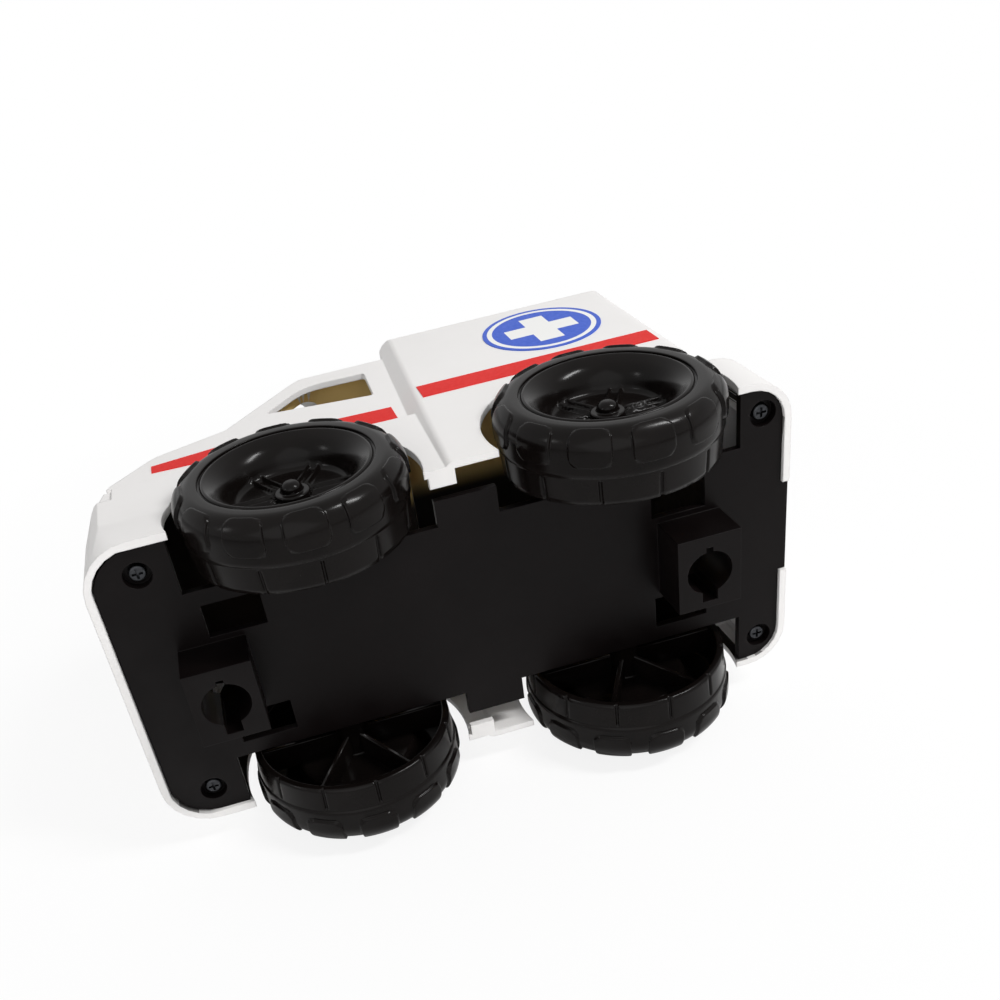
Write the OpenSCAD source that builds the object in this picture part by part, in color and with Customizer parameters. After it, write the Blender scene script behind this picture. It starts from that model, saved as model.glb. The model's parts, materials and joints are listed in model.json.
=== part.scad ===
// Toy ambulance: white body shell, black base plate and two axles with large moulded wheels.
// X points forward, Y to the left and Z up. The origin is on the ground under the middle.

/* [Wheels] */
// Diameter over the tread pads
wheel_d = 68.8; // [64:0.4:72]
// Width of a wheel from its inner edge to its outer face
wheel_w = 23; // [21:0.5:25]
// Depth of the inner edge of a wheel inside the cab side
wheel_in = 11; // [9:0.1:11.6]
// Distance between the front and the rear axle
wheelbase = 96; // [90:0.5:102]
// Wall thickness of a wheel
wheel_wall = 2.2; // [1.6:0.1:3]
// Depth of the hub disc behind the outer face
hub_depth = 10.3; // [8.5:0.1:12]
// Diameter of the hub disc
hub_disc_d = 34.4; // [30:0.2:37]
// Diameter of the ring groove in the sidewall
ring_groove_d = 50; // [47:0.5:51]
// Number of tread pads round a wheel
pad_count = 12; // [8:1:16]
// Height of a tread pad
pad_h = 0.8; // [0.4:0.1:1.4]
// Number of spoke pairs on a hub disc
spoke_count = 6; // [4:1:8]

/* [Axles] */
// Diameter of the steel axle rod
axle_d = 4; // [3:0.1:5]
// Radial running clearance of an axle in its posts
axle_clear = 0.05; // [0.02:0.01:0.1]
// Side play of an axle between its posts
axle_play = 0.8; // [0.4:0.1:1.5]
// Diameter of the collar of an axle cap
cap_collar_d = 10.6; // [9:0.2:12]
// Diameter of the dome of an axle cap
cap_dome_d = 6.6; // [5.6:0.1:8]

/* [Body shell] */
// Length of the nose in front of the front wheel arches
nose_l = 26.1; // [23:0.1:30]
// Length of the tail behind the rear wheel arches
tail_l = 16.1; // [14:0.1:19]
// Height of the lower rim above the ground
rim_h = 24.9; // [23:0.1:27]
// Wall thickness of the shell
shell_wall = 2.2; // [1.6:0.1:3]
// Length of the patient box
box_l = 89.5; // [87:0.5:92]
// Height of the patient box roof above the ground
box_h = 142; // [136:0.5:150]
// Width of the cab above the belt line
cab_w = 93.4; // [90:0.2:96]
// Step out from the cab side to the box side
box_step = 4.3; // [3:0.1:6]
// Spread of the cab side from the belt down to the rim
sill_flare = 3.1; // [2.4:0.1:3.8]
// Spread of the front bumper beyond the cab side at the rim
nose_flare = 2.2; // [1:0.1:3]
// Step down from the box roof to the cab roof
roof_step = 6.6; // [5:0.2:10]
// Height of the front bumper top above the ground
nose_h = 58; // [54:0.5:62]
// Length of the rear bumper step
bumper_l = 14; // [12:0.5:18]
// Height of the rear bumper step above the ground
bumper_h = 49.4; // [45:0.2:54]
// Radius of the roof edges
roof_edge_r = 4; // [3:0.5:7]
// Radius of the nose corners in plan
nose_corner_r = 16; // [8:0.5:20]
// Gap between a wheel and its arch
arch_gap = 3.5; // [2:0.1:4.5]

/* [Base plate] */
// Thickness of the base plate
plate_t = 2.4; // [1.8:0.1:3]
// Depth of the plate face inside the rim
plate_inset = 1; // [0.5:0.1:2]
// Gap between the plate edge and the shell
plate_clear = 0.2; // [0.1:0.05:0.4]
// Gap between the plate and a wheel
waist_gap = 4.7; // [4:0.1:6]
// Width of the plate across its middle flaps
flap_w = 78.8; // [74:0.2:84]
// Length of a socket block
block_l = 20.5; // [18:0.5:23]
// Width of a socket block
block_w = 25.5; // [22:0.5:28]
// Height of a socket block below the plate
block_h = 14.5; // [10:0.5:18]
// Diameter of a socket
socket_d = 14.6; // [12:0.1:16]
// Width of the key notch of a socket
key_w = 5; // [3:0.1:6]
// Length of a tie slot
slot_l = 17.5; // [12:0.5:20]

/* [Screws] */
// Diameter of a screw head
screw_head_d = 5.3; // [4.5:0.1:6]
// Diameter of a screw shank
screw_shank_d = 2.6; // [2:0.1:3]
// Length of a screw shank
screw_l = 10; // [8:0.5:12]
// Diameter of a screw recess
recess_d = 8.4; // [7.5:0.1:9.5]

/* [Stickers] */
// Thickness of a sticker
sticker_t = 0.25; // [0.15:0.05:0.5]
// Height of the side stripe
stripe_h = 10; // [8:0.5:12]

/* [Hidden] */
$fn = 96;
overrun = 1;
corner_steps = 6;

// Places that follow from the sizes above
wheel_gap = cab_w - 2 * wheel_in;
arch_r = wheel_d / 2 + arch_gap;
body_l = nose_l + tail_l + wheelbase + 2 * arch_r;
front_x = body_l / 2;
rear_x = -body_l / 2;
front_axle_x = front_x - nose_l - arch_r;
rear_axle_x = front_axle_x - wheelbase;
axle_xs = [front_axle_x, rear_axle_x];
axle_z = wheel_d / 2;
axle_r = axle_d / 2;
cab_h = box_h - roof_step;
box_rear_x = rear_x + bumper_l;
box_front_x = box_rear_x + box_l;
cab_l = front_x - box_front_x;
cab_rise = cab_h - rim_h;
arch_top = axle_z + arch_r;

// Wheel section: r is the distance from the axle, w the distance from the inner edge
edge_drop = 1.8;
band_drop = 1.2;
band_w = 8.8;
band_step = 0.5;
tread_flat = 6.8;
sidewall_flat = 2.2;
face_fall = 0.4;
ring_groove_w = 0.8;
ring_groove_h = 1;
lip_fall = 3.2;
lip_run = 5.5;
lip_edge_r = 0.7;
lip_r = 8;
funnel_r = 2;
tread_r = wheel_d / 2 - pad_h;
ring_groove_r = ring_groove_d / 2;
hub_disc_r = hub_disc_d / 2;
hub_face_w = wheel_w - hub_depth;
hub_tube_d = 10;
hub_tube_r = hub_tube_d / 2;
plate_waist = wheel_gap - 2 * waist_gap;
post_y = plate_waist / 2;
hub_tube_end = post_y + axle_play - wheel_gap / 2;
pad_margin = 3;
groove_margin = 0.9;
pad_phase_share = 0.66;
pad_sink = 0.6;
pad_turn = 70;
pad_fill_share = 0.69;
groove_w = 1.1;
groove_depth = 0.8;
stagger_share = 0.43;
spoke_w = 1.3;
spoke_h = 1.2;
spoke_gap = 3.4;
spoke_margin = 0.5;
web_t = 1.6;
web_start = 2.5;
web_count = 6;

// Axle caps
cap_collar_h = 1.8;
cap_dome_h = 4.8;
axle_stub = 2.4;
cap_floor_gap = 0.1;
axle_end = wheel_gap / 2 + hub_face_w + axle_stub;

// Shell outline and details
box_w = cab_w + 2 * box_step;
sill_w = cab_w + 2 * sill_flare;
nose_w = sill_w + 2 * nose_flare;
belt_gap = 1.1;
belt_h = arch_top + belt_gap;
step_run = 4.4;
step_edge_r = 3;
box_foot_out = 6.3;
box_top_back = 1.2;
box_top_x = box_front_x - box_top_back;
box_lean_slope = (box_foot_out + box_top_back) / (box_h - rim_h);
box_front_edge_r = 3;
nose_tuck = 4.2;
box_corner_r = 5;
bumper_corner_r = 13;
bumper_edge_r = 4;
belt_run = 3;
belt_out = 2;
cab_side_shares = [[0, 0], [1, 0], [0.99, 0.113], [0.962, 0.295], [0.917, 0.471], [0.778, 0.609],
    [0.555, 0.685], [0.258, 1], [0, 1]];
cab_side_r_shares = [0, 0, 0.1, 0.2, 0.07, 0.1, 0.03, 0.22, 0];
window_shares = [[0.085, 0.679], [0.425, 0.738], [0.28, 0.894], [0.076, 0.886]];
window_r_shares = [0.012, 0.012, 0.14, 0.012];
screen_side = 7.5;
screen_low_share = 0.72;
screen_high_share = 0.965;
screen_rear_share = 0.2;
screen_r = 4;
engrave = 0.9;
emboss = 1.6;
panel_gap = 1.2;
tab_l = 8;
tab_w = 3.6;
tab_t = 2;
lamp_front_shares = [0.9, 0.34, 0.455];
grille_shares = [0.27, 0.34, 0.455];
grille_slots = 4;
grille_bar_share = 0.5;
door_top_share = 0.94;
door_low_share = 0.06;
door_side_share = 0.86;
handle_l = 11;
handle_h = 3;
handle_z_share = 0.45;
tail_w = 7;
tail_h = 13;
tail_z_share = 0.2;
bar_l = 13;
bar_w_share = 0.66;
bar_h = 6;
bar_x_share = 0.16;
bar_r = 3;

// Base plate
plate_z = rim_h + plate_inset;
tail_tab_w = 32;
cup_wall = 1.4;
recess_depth = 3;
cup_h = recess_depth + plate_t;
shank_clear = 0.3;
post_l = 12;
post_t = 3.5;
post_cap = 5;
block_front_off = 34.3;
block_rear_off = 20.7;
block_xs = [front_axle_x + block_front_off, rear_axle_x - block_rear_off];
key_depth = 3.2;
key_small_share = 0.45;
slot_in = 2;
slot_margin = 5.25;
slot_low = block_w / 2 + slot_in;
slot_w = plate_waist / 2 - slot_low - slot_margin;
flap_clear = 0.6;
flap_l = wheelbase - 2 * arch_r - 2 * flap_clear;
slot_front_off = 25.5;
slot_rear_off = 17.5;
slot_xs = [front_axle_x + slot_front_off, rear_axle_x - slot_rear_off];
mid_x = (front_axle_x + rear_axle_x) / 2;
plate_rise = plate_inset + plate_t;
nose_side_lean = nose_tuck / (nose_h - rim_h);
nose_lean = (1 - cab_side_shares[2].x) * cab_l / (cab_side_shares[2].y * cab_rise);
plate_front_half = nose_w / 2 - shell_wall - plate_clear - plate_rise * nose_side_lean;
plate_rear_half = box_w / 2 - shell_wall - plate_clear;
plate_front = front_x - shell_wall - plate_clear - plate_rise * nose_lean;
plate_rear = rear_x + shell_wall + plate_clear;
plate_front_r = nose_corner_r - shell_wall - plate_clear;
plate_rear_r = bumper_corner_r - shell_wall - plate_clear;
well_front = front_axle_x + arch_r;
well_rear = rear_axle_x - arch_r;
screw_in = 8.1;
screw_front_share = 0.43;
screw_rear_share = 0.53;
screw_span = 2 * (plate_rear_half - screw_in);
screw_xs = [well_front + screw_front_share * (plate_front - well_front),
    well_rear + screw_rear_share * (plate_rear - well_rear)];

// Screws and their bosses in the shell
head_h = 2;
head_edge_r = 0.9;
drive_l = 3.2;
drive_w = 0.75;
drive_depth = 1.1;
boss_d = 7.4;
boss_web_t = 2;
cup_top = plate_z + cup_h;

// Stickers
stripe_gap = 3.7;
box_stripe_z = arch_top + stripe_gap;
box_stripe_front = 3.2;
box_stripe_rear = 5;
cab_stripe_rear_share = 0.058;
cab_stripe_knee_shares = [0.529, 0.34];
cab_stripe_drop = 1;
cab_stripe_front_share = 0.788;
cab_stripe_front_h_share = 0.53;
emblem_x_share = 0.376;
emblem_z_share = 0.46;
emblem_d_share = 0.75;

white_abs = "#f1efea";
black_abs = "#1b1a1b";
wheel_black = "#141313";
steel = "#b9bcc0";
stripe_red = "#d9342b";
emblem_blue = "#2f5cc4";

// Outline helpers: round each corner of a path, and move a path inwards by a distance
function unit(v) = v / norm(v);
function at(list, i) = list[(i + len(list)) % len(list)];
function corner_arc(a, b, c, r) =
    let (u = unit(a - b), v = unit(c - b), half = acos(u * v) / 2)
    let (centre = b + unit(u + v) * r / sin(half), p = b + u * r / tan(half) - centre)
    let (q = b + v * r / tan(half) - centre, from = atan2(p.y, p.x), turn = atan2(q.y, q.x) - from)
    let (sweep = turn > 180 ? turn - 360 : turn < -180 ? turn + 360 : turn)
    [for (k = [0 : corner_steps]) let (t = from + sweep * k / corner_steps) centre + r * [cos(t), sin(t)]];
function rounded(path, radii) = [for (i = [0 : len(path) - 1])
    each radii[i] > 0 ? corner_arc(at(path, i - 1), path[i], at(path, i + 1), radii[i]) : [path[i]]];
function left_of(u) = [-u.y, u.x];
function inset_path(path, d) = [for (i = [0 : len(path) - 1])
    let (n = left_of(unit(path[i] - at(path, i - 1))), m = left_of(unit(at(path, i + 1) - path[i])))
    path[i] + (n + m) * d / (1 + n * m)];
function shrink(radii, d) = [for (r = radii) r > 0 ? max(r - d, overrun / corner_steps) : 0];
function smooth_inset(path, radii, d) = rounded(inset_path(path, d), shrink(radii, d));

// Extrusions of a side, front or plan outline
module side_slab(path, width) {
    rotate([90, 0, 0]) linear_extrude(height = width, center = true) polygon(path);
}
module front_slab(path, from, to) {
    translate([from, 0, 0]) rotate([90, 0, 90]) linear_extrude(height = to - from) polygon(path);
}
module plan_slab(path, from, to) {
    translate([0, 0, from]) linear_extrude(height = to - from) polygon(path);
}
module both_sides() {
    children();
    mirror([0, 1, 0]) children();
}

// The three blocks of the body, each moved inwards by d; the inner ones are open below
function base_z(d) = d > 0 ? rim_h - d - overrun : rim_h;
function cab_point(s, d) = [s.x > 0 ? box_front_x + s.x * cab_l : box_front_x - box_l / 2,
    s.y > 0 ? rim_h + s.y * cab_rise : base_z(d)];
function cab_side(d) = smooth_inset([for (s = cab_side_shares) cab_point(s, d)],
    cab_side_r_shares * cab_rise, d);
function cab_front(d) = smooth_inset([[-sill_w / 2, base_z(d)], [sill_w / 2, base_z(d)],
    [cab_w / 2 + belt_out, belt_h - belt_run], [cab_w / 2, belt_h], [cab_w / 2, cab_h],
    [-cab_w / 2, cab_h], [-cab_w / 2, belt_h], [-cab_w / 2 - belt_out, belt_h - belt_run]],
    [0, 0, 0, 0, roof_edge_r, roof_edge_r, 0, 0], d);
function cab_plan(d) = smooth_inset([[box_rear_x, -nose_w / 2], [front_x, -nose_w / 2], [front_x, nose_w / 2],
    [box_rear_x, nose_w / 2]], [0, nose_corner_r, nose_corner_r, 0], d);
function box_front(d) = smooth_inset([[-box_w / 2, base_z(d)], [box_w / 2, base_z(d)], [box_w / 2, box_h],
    [-box_w / 2, box_h]], [0, 0, roof_edge_r, roof_edge_r], d);
function box_front_at(z) = box_top_x + (box_h - z) * box_lean_slope;
function box_side(d) = smooth_inset([[box_rear_x, base_z(d)], [box_front_at(base_z(d)), base_z(d)],
    [box_top_x, box_h], [box_rear_x, box_h]], [0, 0, box_front_edge_r, roof_edge_r], d);
function box_tail_plan(d) = smooth_inset([[box_rear_x, -box_w / 2], [front_x, -box_w / 2],
    [front_x, box_w / 2], [box_rear_x, box_w / 2]], [box_corner_r, 0, 0, box_corner_r], d);
// Plan behind the leaning front face: a slanted step down to the cab side
function box_step_plan(d) = let (half = cab_w / 2 - overrun * box_step / step_run) smooth_inset(
    [[-2 * box_l, -box_w / 2], [-step_run, -box_w / 2], [overrun, -half], [overrun, half],
    [-step_run, box_w / 2], [-2 * box_l, box_w / 2]], [0, step_edge_r, 0, 0, step_edge_r, 0], d);
function bumper_plan(d) = smooth_inset([[rear_x, -box_w / 2], [box_rear_x + bumper_l, -box_w / 2],
    [box_rear_x + bumper_l, box_w / 2], [rear_x, box_w / 2]], [bumper_corner_r, 0, 0, bumper_corner_r], d);
function bumper_side(d) = smooth_inset([[rear_x, base_z(d)], [box_rear_x + bumper_l, base_z(d)],
    [box_rear_x + bumper_l, bumper_h], [rear_x, bumper_h]], [0, 0, 0, bumper_edge_r], d);
function nose_front(d) = smooth_inset([[-nose_w / 2, base_z(d)], [nose_w / 2, base_z(d)],
    [nose_w / 2 - nose_tuck, nose_h], [nose_tuck - nose_w / 2, nose_h]], [0, 0, 0, 0], d);
module nose_form(d) {
    intersection() {
        side_slab(cab_side(d), 2 * box_w);
        front_slab(nose_front(d), front_axle_x, front_x + overrun);
        plan_slab(cab_plan(d), 0, box_h);
    }
}
module cab_form(d) {
    intersection() {
        side_slab(cab_side(d), 2 * box_w);
        front_slab(cab_front(d), rear_x, front_x + overrun);
        plan_slab(cab_plan(d), 0, box_h);
    }
}
module box_form(d) {
    intersection() {
        side_slab(box_side(d), 2 * box_w);
        front_slab(box_front(d), rear_x, front_x);
        plan_slab(box_tail_plan(d), 0, 2 * box_h);
        translate([box_top_x, 0, box_h]) rotate([0, -atan(box_lean_slope), 0])
            plan_slab(box_step_plan(d), -2 * box_h, box_h);
    }
}
module bumper_form(d) {
    intersection() {
        side_slab(bumper_side(d), 2 * box_w);
        plan_slab(bumper_plan(d), 0, box_h);
    }
}
module body_form(d) {
    cab_form(d);
    nose_form(d);
    box_form(d);
    bumper_form(d);
}

// Openings of the shell: side windows, windscreen and wheel arches
function cab_share_path(shares) = [for (s = shares) [box_front_x + s.x * cab_l, rim_h + s.y * cab_rise]];
module window_cut() {
    side_slab(rounded(cab_share_path(window_shares), window_r_shares * cab_rise), 2 * box_w);
}
module screen_cut() {
    half = cab_w / 2 - screen_side;
    low = rim_h + screen_low_share * cab_rise;
    high = rim_h + screen_high_share * cab_rise;
    path = [[-half, low], [half, low], [half, high], [-half, high]];
    front_slab(rounded(path, [screen_r, screen_r, screen_r, screen_r]),
        box_front_x + screen_rear_share * cab_l, front_x);
}
module arch_cuts() {
    for (x = axle_xs) both_sides()
        translate([x, plate_waist / 2, axle_z]) rotate([-90, 0, 0]) cylinder(r = arch_r, h = box_w);
}

// Shallow lines cut into the outer face: rear doors, grille and headlamp corners
module engraved_lines() {
    grille_w = 2 * grille_shares.x * cab_w;
    grille_low = rim_h + grille_shares.y * cab_rise;
    grille_pitch = (grille_shares.z - grille_shares.y) * cab_rise / grille_slots;
    for (k = [0 : grille_slots - 1])
        translate([box_front_x + cab_l / 2, -grille_w / 2, grille_low + k * grille_pitch])
            cube([cab_l, grille_w, grille_pitch * grille_bar_share]);
    lamp_x = box_front_x + lamp_front_shares.x * cab_l;
    lamp_low = rim_h + lamp_front_shares.y * cab_rise;
    lamp_high = rim_h + lamp_front_shares.z * cab_rise;
    both_sides() translate([lamp_x, grille_w / 2 + grille_pitch, lamp_low])
        cube([cab_l, cab_w, lamp_high - lamp_low]);
    door_w = door_side_share * box_w;
    door_low = bumper_h + door_low_share * (box_h - bumper_h);
    door_high = bumper_h + door_top_share * (box_h - bumper_h);
    translate([rear_x, 0, door_low]) difference() {
        translate([0, -door_w / 2, 0]) cube([box_l / 2, door_w, door_high - door_low]);
        both_sides() translate([-overrun, panel_gap / 2, panel_gap])
            cube([box_l, door_w / 2 - panel_gap * 3 / 2, door_high - door_low - 2 * panel_gap]);
    }
}
// Low raised details on the outer face: door handle and tail lamps
module raised_blocks() {
    box_rise = box_h - bumper_h;
    translate([rear_x, -handle_l / 2, bumper_h + handle_z_share * box_rise])
        cube([box_l / 2, handle_l, handle_h]);
    both_sides() translate([rear_x, box_w / 2 - box_corner_r - tail_w, bumper_h + tail_z_share * box_rise])
        cube([box_l / 2, tail_w, tail_h]);
}
module roof_bar() {
    width = bar_w_share * cab_w;
    from = box_front_x + bar_x_share * cab_l;
    path = [[-width / 2, cab_h - shell_wall], [width / 2, cab_h - shell_wall], [width / 2, cab_h + bar_h],
        [-width / 2, cab_h + bar_h]];
    front_slab(rounded(path, [0, 0, bar_r, bar_r]), from, from + bar_l);
}
module screw_bosses() {
    for (x = screw_xs) both_sides() translate([x, screw_span / 2, cup_top]) {
        cylinder(d = boss_d, h = box_h);
        translate([-boss_web_t / 2, 0, 0]) cube([boss_web_t, box_w, box_h]);
    }
}
module sill_tabs() {
    both_sides() translate([front_axle_x - arch_r, sill_w / 2 - shell_wall - tab_w, rim_h])
        mirror([1, 0, 0]) cube([tab_l, tab_w + shell_wall, tab_t]);
}
module tail_notch() {
    width = tail_tab_w + 2 * plate_clear;
    translate([rear_x - overrun, -width / 2, rim_h - overrun])
        cube([overrun + shell_wall + bumper_corner_r / 2, width, overrun + plate_rise + plate_clear]);
}

module body_shell() {
    color(white_abs) difference() {
        union() {
            difference() {
                union() {
                    body_form(0);
                    roof_bar();
                    intersection() {
                        raised_blocks();
                        body_form(-emboss);
                    }
                }
                body_form(shell_wall);
                difference() {
                    engraved_lines();
                    body_form(engrave);
                }
                window_cut();
                screen_cut();
            }
            intersection() {
                union() {
                    screw_bosses();
                    sill_tabs();
                }
                body_form(0);
            }
        }
        arch_cuts();
        tail_notch();
        for (x = screw_xs) both_sides() translate([x, screw_span / 2, cup_top - overrun])
            cylinder(d = screw_shank_d, h = overrun + screw_l);
    }
}

// Base plate: outline inside the rim, with wheel wells, middle flaps and a tail tab
module plate_outline() {
    front = [[mid_x, -plate_front_half], [plate_front, -plate_front_half], [plate_front, plate_front_half],
        [mid_x, plate_front_half]];
    rear = [[plate_rear, -plate_rear_half], [mid_x, -plate_rear_half], [mid_x, plate_rear_half],
        [plate_rear, plate_rear_half]];
    difference() {
        union() {
            polygon(rounded(front, [0, plate_front_r, plate_front_r, 0]));
            polygon(rounded(rear, [plate_rear_r, 0, 0, plate_rear_r]));
        }
        for (y = [-plate_front_half - plate_waist / 2, plate_waist / 2])
            translate([well_rear, y]) square([well_front - well_rear, plate_front_half]);
    }
    translate([mid_x - flap_l / 2, -flap_w / 2]) square([flap_l, flap_w]);
    translate([rear_x, -tail_tab_w / 2]) square([bumper_l, tail_tab_w]);
}
module tie_slots() {
    for (x = slot_xs) both_sides() translate([x - slot_l / 2, slot_low, plate_z - overrun])
        cube([slot_l, slot_w, plate_t + 2 * overrun]);
}
module socket_cut() {
    depth = block_h + plate_t + 2 * overrun;
    translate([0, 0, plate_z - block_h - overrun]) {
        cylinder(d = socket_d, h = depth);
        translate([-key_w / 2, -socket_d / 2 - key_depth, 0]) cube([key_w, socket_d / 2 + key_depth, depth]);
        translate([-key_w * key_small_share / 2, 0, 0])
            cube([key_w * key_small_share, socket_d / 2 + key_depth * key_small_share, depth]);
    }
}
module axle_posts() {
    for (x = axle_xs) both_sides() translate([x - post_l / 2, post_y - post_t, plate_z])
        cube([post_l, post_t, axle_z + post_cap - plate_z]);
}
module chassis() {
    color(black_abs) difference() {
        union() {
            translate([0, 0, plate_z]) linear_extrude(height = plate_t) plate_outline();
            axle_posts();
            for (x = block_xs) translate([x - block_l / 2, -block_w / 2, plate_z - block_h])
                cube([block_l, block_w, block_h + plate_t]);
            for (x = screw_xs) both_sides() translate([x, screw_span / 2, plate_z])
                cylinder(d = recess_d + 2 * cup_wall, h = cup_h);
        }
        tie_slots();
        for (x = block_xs) translate([x, 0, 0]) socket_cut();
        for (x = axle_xs) translate([x, 0, axle_z]) rotate([90, 0, 0])
            cylinder(r = axle_r + axle_clear, h = plate_waist + 2 * overrun, center = true);
        for (x = screw_xs) both_sides() translate([x, screw_span / 2, plate_z - overrun]) {
            cylinder(d = recess_d, h = overrun + recess_depth);
            cylinder(d = screw_shank_d + 2 * shank_clear, h = 2 * overrun + cup_h);
        }
    }
}

// Pan-head screw with a cross recess, head down
module screw() {
    path = [[0, -head_h], [screw_head_d / 2, -head_h], [screw_head_d / 2, 0], [screw_shank_d / 2, 0],
        [screw_shank_d / 2, screw_l - screw_shank_d / 2], [0, screw_l]];
    difference() {
        rotate_extrude() polygon(rounded(path, [0, head_edge_r, 0, 0, 0, 0]));
        for (turn = [0, 90]) rotate([0, 0, turn])
            translate([-drive_l / 2, -drive_w / 2, -head_h - overrun])
                cube([drive_l, drive_w, overrun + drive_depth]);
    }
}
module chassis_screws() {
    color(steel) for (x = screw_xs) both_sides()
        translate([x, screw_span / 2, plate_z + recess_depth]) screw();
}

module axle(x) {
    color(steel) translate([x, 0, axle_z]) rotate([90, 0, 0])
        cylinder(r = axle_r, h = 2 * axle_end, center = true);
}
module front_axle() {
    axle(front_axle_x);
}
module rear_axle() {
    axle(rear_axle_x);
}

// Wheel: one hollow moulding, turned about its axle, with pads, spokes and webs
edge_r = wheel_d / 2 - edge_drop;
band_r = wheel_d / 2 - band_drop;
face_w = wheel_w - face_fall;
face_back_w = face_w - ring_groove_h - wheel_wall;
funnel_top_r = ring_groove_r - lip_run;
hub_back_w = hub_face_w - wheel_wall;
shoulder_r = tread_r - ring_groove_r - ring_groove_w - sidewall_flat;
shoulder_w = face_w - band_w - band_step - tread_flat;
back_corner_share = 0.33;
back_corner_r = back_corner_share * shoulder_w;
shoulder_centre = [tread_r - shoulder_r, face_w - shoulder_w];
function shoulder(grow, turn) = [for (k = [0 : corner_steps]) let (t = turn * k / corner_steps)
    shoulder_centre + [(shoulder_r + grow) * cos(t), (shoulder_w + grow) * sin(t)]];
module wheel_section() {
    tread = concat([[edge_r, 0], [band_r, band_w], [tread_r, band_w + band_step]], shoulder(0, 90));
    rest = [[ring_groove_r + ring_groove_w, face_w], [ring_groove_r + ring_groove_w, face_w - ring_groove_h],
        [ring_groove_r, face_w - ring_groove_h], [ring_groove_r, wheel_w], [funnel_top_r, wheel_w - lip_fall],
        [hub_disc_r, hub_face_w], [axle_r, hub_face_w], [axle_r, hub_tube_end], [hub_tube_r, hub_tube_end],
        [hub_tube_r, hub_back_w], [hub_disc_r + wheel_wall, hub_back_w],
        [funnel_top_r + wheel_wall, face_back_w - lip_fall], [ring_groove_r, face_back_w],
        [tread_r - wheel_wall, face_back_w - back_corner_r], [tread_r - wheel_wall, band_w],
        [edge_r - wheel_wall, 0]];
    none = [for (p = tread) 0];
    lip = [0, 0, 0, lip_edge_r, lip_r, funnel_r];
    plain = [for (k = [len(lip) : len(rest) - 1]) 0];
    polygon(rounded(concat(tread, rest), concat(none, lip, plain)));
}
module pad_section() {
    start = band_w + band_step + pad_margin;
    outer = concat([[tread_r + pad_h, start]], shoulder(pad_h, pad_turn));
    inner = concat([[tread_r - pad_sink, start]], shoulder(-pad_sink, pad_turn));
    polygon(concat(outer, [for (k = [len(inner) - 1 : -1 : 0]) inner[k]]));
}
module band_groove_section() {
    end = band_w - groove_margin;
    end_r = edge_r + (band_r - edge_r) * end / band_w;
    polygon([[edge_r - groove_depth, -overrun], [edge_r + overrun, -overrun], [end_r + overrun, end],
        [end_r - groove_depth, end]]);
}
module wheel_turned() {
    pitch = 360 / pad_count;
    groove_turn = groove_w / band_r * 180 / PI;
    spoke_from = cap_collar_d / 2 + spoke_margin;
    web_l = edge_r - wheel_wall / 2 - hub_tube_r;
    difference() {
        union() {
            rotate_extrude() wheel_section();
            for (k = [0 : pad_count - 1]) rotate([0, 0, (k + pad_phase_share) * pitch])
                rotate_extrude(angle = pitch * pad_fill_share) pad_section();
            for (k = [0 : spoke_count - 1]) rotate([0, 0, k * 360 / spoke_count]) both_sides()
                translate([spoke_from, (spoke_gap - spoke_w) / 2, hub_back_w + wheel_wall / 2])
                    cube([hub_disc_r - spoke_from, spoke_w, wheel_wall / 2 + spoke_h]);
            for (k = [0 : web_count - 1]) rotate([0, 0, k * 360 / web_count])
                translate([hub_tube_r - wheel_wall / 2, -web_t / 2, web_start])
                    cube([web_l, web_t, hub_face_w - wheel_wall / 2 - web_start]);
        }
        for (k = [0 : pad_count - 1]) rotate([0, 0, (k + pad_phase_share + stagger_share) * pitch])
            rotate_extrude(angle = groove_turn) band_groove_section();
    }
}
module wheel_left(x) {
    color(wheel_black) translate([x, wheel_gap / 2, axle_z]) rotate([-90, 0, 0]) wheel_turned();
}
module wheel_front_left() {
    wheel_left(front_axle_x);
}
module wheel_front_right() {
    mirror([0, 1, 0]) wheel_left(front_axle_x);
}
module wheel_rear_left() {
    wheel_left(rear_axle_x);
}
module wheel_rear_right() {
    mirror([0, 1, 0]) wheel_left(rear_axle_x);
}

// Push-on cap that closes the hub over the end of an axle
module axle_cap(x) {
    dome_r = cap_dome_d / 2;
    bore_end = axle_stub + cap_floor_gap;
    path = [[axle_r, 0], [cap_collar_d / 2, 0], [cap_collar_d / 2, cap_collar_h], [dome_r, cap_collar_h],
        [dome_r, cap_dome_h], [0, cap_dome_h], [0, bore_end], [axle_r, bore_end]];
    color(wheel_black) translate([x, wheel_gap / 2 + hub_face_w, axle_z]) rotate([-90, 0, 0])
        rotate_extrude() polygon(rounded(path, [0, 0, cap_collar_h / 3, 0, dome_r / 2, 0, 0, 0]));
}
module axle_cap_front_left() {
    axle_cap(front_axle_x);
}
module axle_cap_front_right() {
    mirror([0, 1, 0]) axle_cap(front_axle_x);
}
module axle_cap_rear_left() {
    axle_cap(rear_axle_x);
}
module axle_cap_rear_right() {
    mirror([0, 1, 0]) axle_cap(rear_axle_x);
}

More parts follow.
